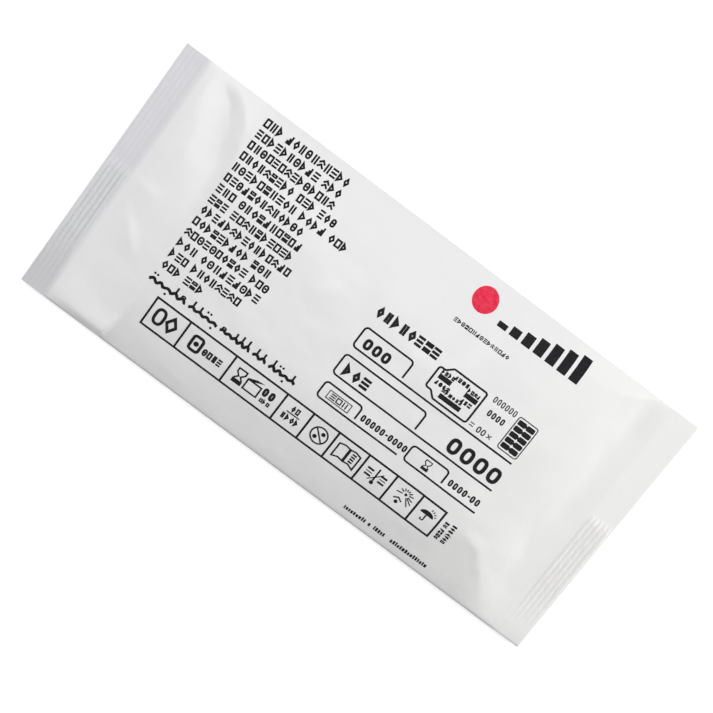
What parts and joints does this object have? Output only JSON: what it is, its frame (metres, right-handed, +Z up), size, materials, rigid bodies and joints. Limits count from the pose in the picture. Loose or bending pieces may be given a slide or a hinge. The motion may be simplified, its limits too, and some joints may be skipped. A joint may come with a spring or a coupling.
{
  "type": "sealed electrode pouch",
  "caption": "Flat white film pouch with crimped end seals and a back seam, sealed round a stack of cards of tab electrodes.",
  "frame": {"origin": "on the surface that the pouch lies on, under the middle of its outline", "axes": "+X along the pouch, +Y across it towards its upper long side in the picture, +Z up, out of the printed front"},
  "size_m": [0.21, 0.098, 0.009],
  "materials": {
    "film": "satin white laminated film",
    "ink": "matte near-black print",
    "red_ink": "matte red print"
  },
  "bodies": {
    "root": {"pouch": "film"}
  },
  "joints": []
}
